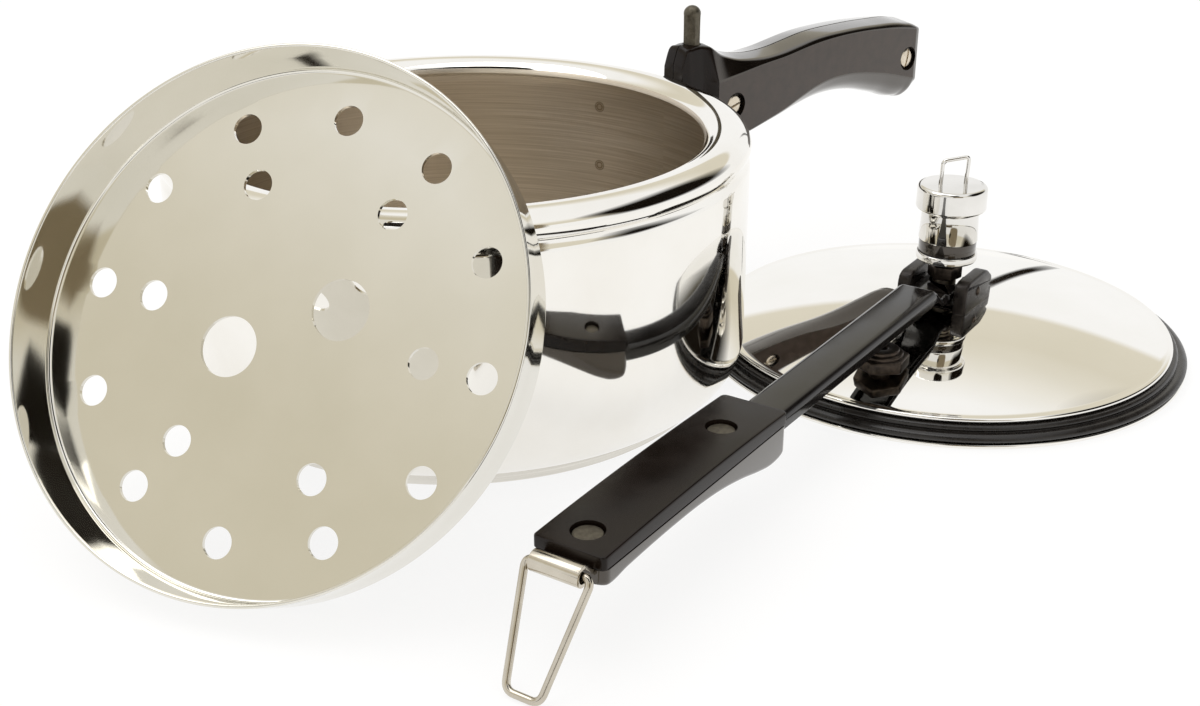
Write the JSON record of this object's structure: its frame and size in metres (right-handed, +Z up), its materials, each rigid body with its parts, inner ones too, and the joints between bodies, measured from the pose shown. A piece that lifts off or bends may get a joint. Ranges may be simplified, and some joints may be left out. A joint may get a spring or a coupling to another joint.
{
  "type": "pressure cooker",
  "caption": "Low stovetop pressure cooker with long handle, inside-fitting domed lid with lever arm and wire latch, vent weight, and a perforated steamer tray leaning on the pot.",
  "frame": {"origin": "centre of the underside of the pot's base disc, on the floor", "axes": "+Z up along the pot's axis, +X along the pot's long handle"},
  "size_m": [0.4053, 0.2837, 0.1366],
  "materials": {
    "pot_steel": "mirror polished outside, satin inside",
    "tray_steel": "polished",
    "lid_steel": "mirror polished",
    "base_metal": "satin",
    "bracket_steel": "satin",
    "handle_plastic": "satin to gloss moulding",
    "bar_black": "gloss black",
    "fastener_steel": "nickel plated",
    "dark_metal": "dull",
    "vent_metal": "machined",
    "gasket_rubber": "matt",
    "weight_chrome": "polished",
    "wire_steel": "bright"
  },
  "bodies": {
    "pot": {"pot_shell": "pot_steel", "base_disc": "base_metal", "handle_bracket": "bracket_steel", "handle_half_near": "handle_plastic", "handle_half_far": "handle_plastic", "handle_screw_front": "fastener_steel", "handle_screw_rear": "fastener_steel", "handle_nut_front": "fastener_steel", "handle_nut_rear": "fastener_steel", "guide_post": "dark_metal"},
    "lid": {"lid_dome": "lid_steel", "lid_gasket": "gasket_rubber", "vent_tube": "vent_metal", "vent_nut": "dark_metal", "vent_lock_nut": "vent_metal", "pivot_bracket": "bar_black", "pivot_pin_left": "dark_metal", "pivot_pin_right": "dark_metal", "safety_valve_body": "dark_metal", "safety_valve_plug": "vent_metal", "safety_valve_nut": "dark_metal"},
    "vent_weight": {"weight_body": "weight_chrome", "weight_ring": "weight_chrome", "weight_band": "handle_plastic", "weight_bail": "wire_steel"},
    "lever_arm": {"lid_bar": "bar_black", "grip_upper": "handle_plastic", "grip_lower": "handle_plastic", "grip_rivet_front": "dark_metal", "grip_rivet_rear": "dark_metal", "loop_sleeve": "wire_steel"},
    "latch_loop": {"latch_loop": "wire_steel"},
    "steamer_tray": {"steamer_tray": "tray_steel"}
  },
  "joints": [
    {"name": "lid_lift", "type": "slide", "parent": "pot", "child": "lid", "axis": [0.7819, -0.5212, 0.342], "range_m": [0, 0.05]},
    {"name": "weight_lift", "type": "slide", "parent": "lid", "child": "vent_weight", "axis": [0, 0, 1], "range_m": [0, 0.03]},
    {"name": "arm_pivot", "type": "hinge", "parent": "lid", "child": "lever_arm", "pos_m": [0.14611, -0.09741, 0.0228], "axis": [-0.2504, 0.9681, 0], "range_deg": [0, 12]},
    {"name": "loop_pivot", "type": "hinge", "parent": "lever_arm", "child": "latch_loop", "pos_m": [-0.09302, -0.15925, 0.0298], "axis": [-0.2504, 0.9681, 0], "range_deg": [0, 150]},
    {"name": "tray_lift", "type": "slide", "parent": "pot", "child": "steamer_tray", "axis": [-0.7285, -0.3825, 0.5683], "range_m": [0, 0.06]}
  ]
}
